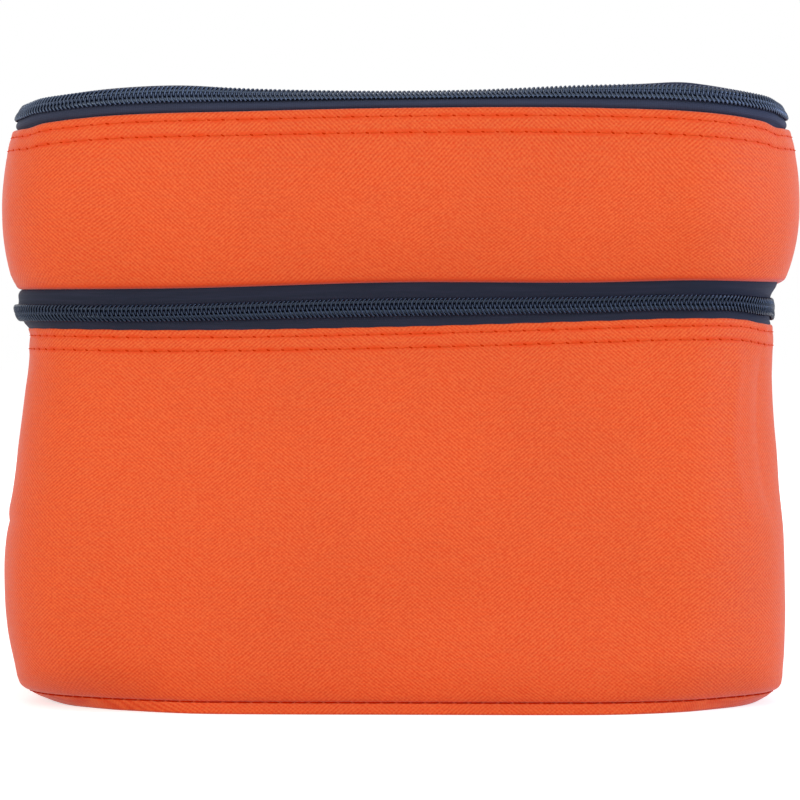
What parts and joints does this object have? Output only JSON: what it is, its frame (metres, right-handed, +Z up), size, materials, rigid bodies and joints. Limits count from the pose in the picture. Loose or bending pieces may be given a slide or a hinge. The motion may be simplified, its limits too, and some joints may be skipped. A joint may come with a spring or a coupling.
{
  "type": "cooler bag",
  "caption": "Soft-sided insulated cooler bag: zipped lid, and an upper compartment that folds back to open the zipped lower one, with a flat webbing handle.",
  "frame": {"origin": "on the floor under the middle of the bag's box", "axes": "+Z up, the front with the bowed face towards -Y, +X to the right seen from the front"},
  "size_m": [0.2302, 0.166, 0.1767],
  "materials": {
    "shell_fabric": "orange woven polyester, fine diagonal weave, slight sheen",
    "zip_tape": "navy woven tape, matt",
    "zip_coil": "navy nylon coil, satin",
    "foam": "white closed-cell foam",
    "liner": "silver-grey wipe-clean film, satin",
    "binding": "navy ribbed ribbon",
    "slider_metal": "navy enamel on die-cast metal",
    "webbing": "navy woven webbing"
  },
  "bodies": {
    "lower": {"lower_band": "shell_fabric", "lower_back_panel": "shell_fabric", "base_panel": "shell_fabric", "base_foam": "foam", "lower_wall_foam": "foam", "lower_liner": "liner", "lower_rim_binding": "binding", "mid_zip_lower_tape": "zip_tape", "mid_zip_lower_coil": "zip_coil", "mid_hinge_strip": "shell_fabric"},
    "mid_slider": {"mid_zip_slider": "slider_metal"},
    "mid_pull": {"mid_zip_pull": "slider_metal"},
    "upper": {"upper_band": "shell_fabric", "upper_back_panel": "shell_fabric", "upper_wall_foam": "foam", "divider_foam": "foam", "divider_underside": "liner", "divider_binding": "binding", "upper_liner": "liner", "upper_rim_binding": "binding", "mid_zip_upper_tape": "zip_tape", "mid_zip_upper_coil": "zip_coil", "top_zip_lower_tape": "zip_tape", "top_zip_lower_coil": "zip_coil", "lid_hinge_strip": "shell_fabric"},
    "top_slider": {"top_zip_slider": "slider_metal"},
    "top_pull": {"top_zip_pull": "slider_metal"},
    "lid": {"lid_panel": "shell_fabric", "lid_foam": "foam", "lid_liner": "liner", "lid_binding": "binding", "top_zip_upper_tape": "zip_tape", "top_zip_upper_coil": "zip_coil", "carry_handle": "webbing"}
  },
  "joints": [
    {"name": "upper_tilt", "type": "hinge", "parent": "lower", "child": "upper", "pos_m": [0, 0.0784, 0.1131], "axis": [-1, 0, 0], "range_deg": [0, 95], "deforming": ["mid_hinge_strip"]},
    {"name": "lid_open", "type": "hinge", "parent": "upper", "child": "lid", "pos_m": [0, 0.0827, 0.1695], "axis": [-1, 0, 0], "range_deg": [0, 120], "deforming": ["lid_hinge_strip"]},
    {"name": "mid_slider_travel", "type": "slide", "parent": "lower", "child": "mid_slider", "axis": [0, -1, 0], "range_m": [0, 0.08]},
    {"name": "mid_pull_swing", "type": "hinge", "parent": "mid_slider", "child": "mid_pull", "pos_m": [0.11245, 0.052, 0.1131], "axis": [0, 0, 1], "range_deg": [0, 170]},
    {"name": "top_slider_travel", "type": "slide", "parent": "upper", "child": "top_slider", "axis": [0, -1, 0], "range_m": [0, 0.08]},
    {"name": "top_pull_swing", "type": "hinge", "parent": "top_slider", "child": "top_pull", "pos_m": [0.11345, 0.052, 0.1695], "axis": [0, 0, 1], "range_deg": [0, 170]}
  ]
}
